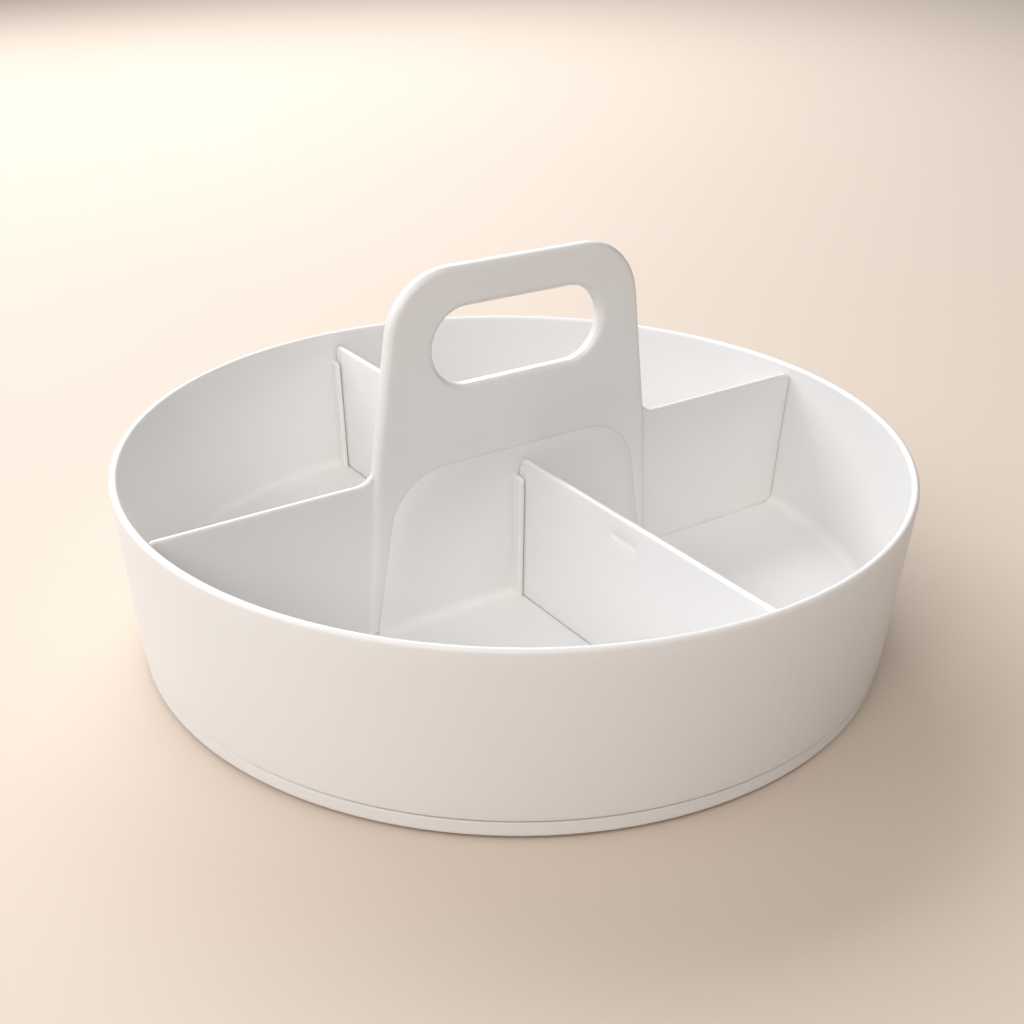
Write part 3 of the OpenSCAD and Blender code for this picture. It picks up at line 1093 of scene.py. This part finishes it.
@dataclass
class HandlePanel:
    """The insert: two thin wings and a thicker handle plate with a hand slot, astride the hump."""

    at: Layout
    hump: Hump
    half_w: float = 62.5
    taper: float = 0.14
    leg_taper: float = 0.08
    leg_corner_r: float = 2.2
    corner_r: float = 25.5
    fillet_r: float = 7.0
    slot_l: float = 74.4
    slot_h: float = 29.4
    slot_drop: float = 30.0
    plate_round: float = 2.5
    wing_round: float = 1.15
    seam_round: float = 0.2
    end_round: float = 0.3
    root_blend: float = 0.35
    seam_gap: float = 0.02
    screw_r: float = 1.22
    screw_l: float = 12.5

    @property
    def handle_z(self) -> float:
        """Height of the handle."""
        return self.at.top("handle_panel")

    def side(self, z: float) -> float:
        """Half width of the handle plate at a height."""
        drop = self.at.wing_z - z
        return self.half_w + drop * (self.leg_taper if drop > 0 else self.taper)

    def corner(self) -> list[Point]:
        """Rounded top corner of the handle."""
        half = self.side(self.handle_z - self.corner_r)
        return tapered_corner(half, self.handle_z, self.corner_r, self.taper)

    def arch(self) -> list[Point]:
        """The edge that meets the hump, from the left foot to the right one, with rounded feet."""
        radius = self.leg_corner_r
        start = self.at.seat_z + radius
        half = self.hump.side(-self.seam_gap, start)
        foot = arc(half[0][0] + radius, start, radius, 180, 270, 8)
        right = [*reversed(half), *foot[1:]]
        return [*mirrored(right), *right]

    def outlines(self) -> tuple[SoftOutline, SoftOutline, SoftOutline]:
        """The sheet, the slot and the plate."""
        at = self.at
        lean = math.atan(self.taper)
        z = at.wing_z + self.fillet_r
        hollow = arc(self.side(z) + self.fillet_r / math.cos(lean), z, self.fillet_r, 270,
                     180 + math.degrees(lean), 12)
        half = at.wall_edge(at.wing_z) + hollow + self.corner()
        sheet = [(-at.foot_end, at.seat_z), *self.arch(), (at.foot_end, at.seat_z), *half, *mirrored(half)]
        flank = [(self.side(level), level) for level in (at.seat_z, at.wing_z)] + self.corner()
        plate = [(-self.side(at.seat_z), at.seat_z), *self.arch(), *flank, *mirrored(flank)[:-1]]

        def by_hump(points: np.ndarray) -> np.ndarray:
            """Whether each point lies on the edge that clears the hump."""
            return ((np.abs(points[:, 0]) < self.hump.half(points[:, 1]) + 2)
                    & (points[:, 1] < self.hump.top_z + 1))

        def sheet_edge(points: np.ndarray) -> np.ndarray:
            """Edge radius round the sheet: soft on top, nearly sharp at the ends and the foot."""
            on_plate = smooth_step((points[:, 1] - at.wing_z - 2) / 5)
            soft = self.wing_round + (self.plate_round - self.wing_round) * on_plate
            free = smooth_step((points[:, 1] - at.wing_z + 3) / 3)
            return np.where(by_hump(points), self.seam_round, self.end_round + (soft - self.end_round) * free)

        def plate_edge(points: np.ndarray) -> np.ndarray:
            """Edge radius of the plate."""
            seam = by_hump(points) | (points[:, 1] < at.seat_z + 0.01)
            return np.where(seam, self.seam_round, self.plate_round)

        middle, radius = self.handle_z - self.slot_drop, self.slot_h / 2
        reach = self.slot_l / 2 - radius
        slot = arc(reach, middle, radius, 90, -90, 30) + arc(-reach, middle, radius, 270, 90, 30)
        return (SoftOutline.of(sheet, sheet_edge, FINE_STEP),
                SoftOutline.of(slot, self.plate_round, FINE_STEP),
                SoftOutline.of(plate, plate_edge, FINE_STEP))

    def guide_lines(self) -> list[np.ndarray]:
        """Lines that the mesh follows where the plate rises from the wings."""
        at = self.at
        lines = []
        for share in [-0.25, *quarter_steps(6)]:
            inset = share * self.plate_round
            for sign in (-1, 1):
                levels = (at.seat_z + 0.6, at.wing_z, at.wing_z + 1.5)
                ends = [(sign * (self.side(z) - inset), z) for z in levels]
                lines.append(refined(ends, FINE_STEP, closed=False))
        return lines

    def tabs(self) -> bpy.types.Object:
        """Locating tabs under the wings."""
        at = self.at
        return gathered([prism("tab", rectangle(side * at.tab_x, 0, at.tab_l, at.wing_t), at.tub_z + 0.05,
                               at.seat_z + 0.5) for side in (-1, 1)])

    def build(self) -> bpy.types.Object:
        """Makes the panel."""
        at = self.at
        sheet, slot, plate = self.outlines()

        def height(spots: np.ndarray) -> np.ndarray:
            """Half thickness: the sheet and the rounded plate, whichever is thicker."""
            wing = rounded_height(spots, [sheet], at.wing_t / 2)
            raised = rounded_height(spots, [plate, slot], at.plate_t / 2)
            edge, _ = sheet.depth(spots)
            on_plate = plate.holds(spots) | (plate.depth(spots)[0] < ON_EDGE)
            raised = np.where(on_plate, raised, 0)
            return np.where(edge < ON_EDGE, np.maximum(wing, np.where(raised > 0, raised, 0)),
                            smooth_max(wing, raised, self.root_blend))

        panel = Plate(sheet, [slot], self.guide_lines(), rows=7, grid=FINE_GRID).build(
            "handle_panel_moulding", height, height, Plane.ALONG_X)
        combine(panel, [self.tabs()], Cut.JOIN)
        combine(panel, [self.hump.screw_holes(self.screw_r, self.hump.top_z + self.screw_l)], Cut.REMOVE)
        shade(panel)
        return panel


@dataclass
class Divider:
    """A lift-out plate with a rounded top edge, a mould pin mark and a blank recess for a tag."""

    at: Layout
    turn: float
    name: str
    inner_r: float = 4.5
    edge: float = 1.1
    end_round: float = 0.35
    soft_drop: float = 6.0
    soft_fade: float = 4.0
    pin_r: float = 0.9
    pin_inset: float = 3.4
    pin_drop: float = 3.0
    pin_depth: float = 0.1
    pin_edge: float = 0.25
    tag_size: Point = (14.0, 2.4)
    tag_x: float = 69.0
    tag_drop: float = 8.0
    tag_depth: float = 0.2
    tag_edge: float = 0.35

    @property
    def inner(self) -> float:
        """Distance from the axis to the edge beside the hump."""
        return Hump(self.at).thickness / 2 + self.at.gap

    def marks(self) -> list[tuple[SoftOutline, float]]:
        """Outlines of the shallow dents on one face, and their depths."""
        at = self.at
        pin = arc(self.inner + self.pin_inset, at.divider_z - self.pin_drop, self.pin_r, 0, 345, 23)
        tag = rectangle(self.tag_x, at.divider_z - self.tag_drop, *self.tag_size)
        return [(SoftOutline.of(pin, self.pin_edge, 1.0), self.pin_depth),
                (SoftOutline.of(tag, self.tag_edge, 1.0), self.tag_depth)]

    def build(self) -> bpy.types.Object:
        """Makes the divider."""
        at = self.at
        inner, foot = self.inner, at.seat_z + at.gap
        points = [(inner, foot), (at.foot_end, foot), *at.wall_edge(at.divider_z),
                  *arc(inner + self.inner_r, at.divider_z - self.inner_r, self.inner_r, 90, 180, 10)]

        def soft(line: np.ndarray) -> np.ndarray:
            """Edge radius: soft on top, nearly sharp elsewhere."""
            near_top = smooth_step((line[:, 1] - at.divider_z + self.soft_drop) / self.soft_fade)
            return self.end_round + (self.edge - self.end_round) * near_top

        outline = SoftOutline.of(points, soft, 2.0)

        def plain(spots: np.ndarray) -> np.ndarray:
            """Half thickness of the plate."""
            return rounded_height(spots, [outline], at.divider_t / 2)

        marks = self.marks()

        def marked(spots: np.ndarray) -> np.ndarray:
            """Half thickness on the face that has the dents."""
            level = plain(spots)
            for mark, depth in marks:
                gap, edge = mark.depth(spots)
                sunk = smooth_step(gap / np.maximum(edge, 1e-6))
                level = level - depth * np.where(mark.holds(spots), sunk, 0)
            return level

        rings = [mark.ring(share) for mark, _ in marks for share in (0.0, 0.35, 0.65, 1.0)]
        lines = [np.vstack([ring, ring[:1]]) for ring in rings]
        made = Plate(outline, lines=lines, rows=6, grid=4.0).build(self.name, plain, marked, Plane.ALONG_Y)
        made.data.transform(Matrix.Rotation(math.radians(self.turn), 4, "Z"))
        shade(made)
        return made


# --- Stage ---


@dataclass(frozen=True)
class Camera:
    """The camera's place round the object and its lens."""

    azimuth: float = -34.8
    distance: float = 456.3
    height: float = 270.5
    pitch: float = 26.7
    yaw: float = -0.09
    roll: float = 0.73
    sensor: float = 36.0
    zoom: float = 1295.05 / 1024

    def place(self) -> None:
        """Creates the camera and makes it the scene's."""
        data = bpy.data.cameras.new("camera")
        data.sensor_width = self.sensor
        data.lens = self.zoom * self.sensor
        data.clip_start, data.clip_end = 0.01, 50
        camera = new_object("camera", data)
        turn = Matrix.Rotation(math.radians(self.azimuth), 3, "Z")
        yaw, pitch = math.radians(self.yaw), math.radians(self.pitch)
        ahead = Vector((math.sin(yaw) * math.cos(pitch), math.cos(yaw) * math.cos(pitch), -math.sin(pitch)))
        right = ahead.cross(Vector((0, 0, 1))).normalized()
        up = right.cross(ahead)
        roll = math.radians(self.roll)
        side, lift = math.cos(roll), math.sin(roll)
        right, up = side * right + lift * up, side * up - lift * right
        basis = turn @ Matrix((right, up, -ahead)).transposed()
        spot = turn @ Vector((0, -self.distance * MM, self.height * MM))
        camera.matrix_world = Matrix.Translation(spot) @ basis.to_4x4()
        bpy.context.scene.camera = camera


@dataclass(frozen=True)
class Lamp:
    """A soft rectangular light that points at the object."""

    name: str
    azimuth: float
    elevation: float
    distance: float
    size: tuple[float, float]
    power: float
    colour: Colour = (1.0, 1.0, 1.0)
    aim: tuple[float, float, float] = (0.0, 0.0, 0.05)

    def place(self) -> None:
        """Creates the light."""
        data = bpy.data.lights.new(self.name, "AREA")
        data.shape = "RECTANGLE"
        data.size, data.size_y = self.size
        data.energy = self.power
        data.color = self.colour
        lamp = new_object(self.name, data)
        a, e = math.radians(self.azimuth), math.radians(self.elevation)
        back = Vector((math.sin(a) * math.cos(e), -math.cos(a) * math.cos(e), math.sin(e)))
        lamp.location = Vector(self.aim) + back * self.distance
        lamp.rotation_mode = "QUATERNION"
        lamp.rotation_quaternion = (-back).to_track_quat("-Z", "Y")


@dataclass(frozen=True)
class Stage:
    """Plain pale floor and soft light."""

    floor_size: float = 8.0
    floor_colour: Colour = (0.66, 0.56, 0.47)
    air_colour: Colour = (0.93, 0.95, 1.0)
    air_strength: float = 0.08

    def build(self) -> None:
        """Makes the floor, the lights and the sky."""
        half = self.floor_size / 2 / MM
        corners = np.array([(*corner, 0) for corner in rectangle(0, 0, 2 * half, 2 * half)])
        floor = new_piece("floor", corners, [range(4)])
        Finish("pale_floor", self.floor_colour, self.floor_colour, 0.7, marks=0.0, wave_scale=3.0,
               grain_depth=0.00001).cover(floor)
        for lamp in (Lamp("side_window", -118, 32, 1.7, (1.5, 1.2), 10.4, (0.92, 0.96, 1.0)),
                     Lamp("front_window", -94, 36, 1.8, (1.6, 1.2), 4.6, (0.85, 0.9, 1.0)),
                     Lamp("room", -48, 42, 2.5, (2.0, 1.6), 30.0, (1.0, 0.94, 0.89)),
                     Lamp("front_ceiling", -5, 55, 2.4, (2.0, 1.2), 11.0, (1.0, 0.98, 0.96)),
                     Lamp("back_window", 175, 40, 2.2, (2.4, 1.4), 50.0, (0.98, 0.98, 1.0)),
                     Lamp("far_floor", 145, 70, 1.6, (3.0, 1.6), 30.0, aim=(1.5, 2.2, 0.0))):
            lamp.place()
        world = bpy.data.worlds.new("air")
        world.use_nodes = True
        sky = world.node_tree.nodes["Background"]
        sky.inputs["Color"].default_value = (*self.air_colour, 1)
        sky.inputs["Strength"].default_value = self.air_strength
        bpy.context.scene.world = world
        bpy.context.scene.view_settings.view_transform = "Standard"


def install(piece: bpy.types.Object, body: str, slot: str, finish: Finish, *nodes: str) -> None:
    """Dresses a piece, makes it ride on a body and stand for CAD nodes, and reports it.

    Args:
        piece: the finished mesh.
        body: the body it moves with.
        slot: the material slot it stands for; not used.
        finish: its surface.
        nodes: the CAD nodes that it replaces.
    """
    finish.dress(piece, slot)
    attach(piece, body)
    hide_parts(*nodes)
    log.info("%s: %d faces on %s", piece.name, len(piece.data.polygons), body)


def main() -> None:
    """Builds every piece in order."""
    logging.basicConfig(level=logging.INFO, format="%(message)s")
    Camera().place()
    at = Layout()
    hump = Hump(at)
    install(Tub(at, hump).build(), "caddy", "tub_plastic", SATIN_TUB, "tub")
    install(HandlePanel(at, hump).build(), "caddy", "panel_plastic", SATIN_PANEL, "handle_panel")
    install(Divider(at, 180, "front_divider_plate").build(), "front_partition", "divider_plastic",
            SATIN_DIVIDER, "front_divider")
    install(Divider(at, 0, "rear_divider_plate").build(), "rear_partition", "divider_plastic",
            SATIN_DIVIDER, "rear_divider")
    carried = {"base_disc": SATIN_BASE, "base_cap": SATIN_BASE, "centre_bush": ACETAL, "ball_cage": ACETAL,
               "bearing_balls": BALL, "centre_screw": ZINC, "retaining_washer": ZINC, "panel_screws": ZINC}
    carried |= {f"foot_pad_{i}": RUBBER for i in range(1, 7)}
    slots = {row["node"]: row["material_slot"] for row in frame["record"]["subparts"]}
    for node, finish in carried.items():
        finish.dress(frame["nodes"][node], slots[node])
        log.info("%s: CAD solid with a new finish", node)
    Stage().build()


if __name__ == "__main__":
    main()
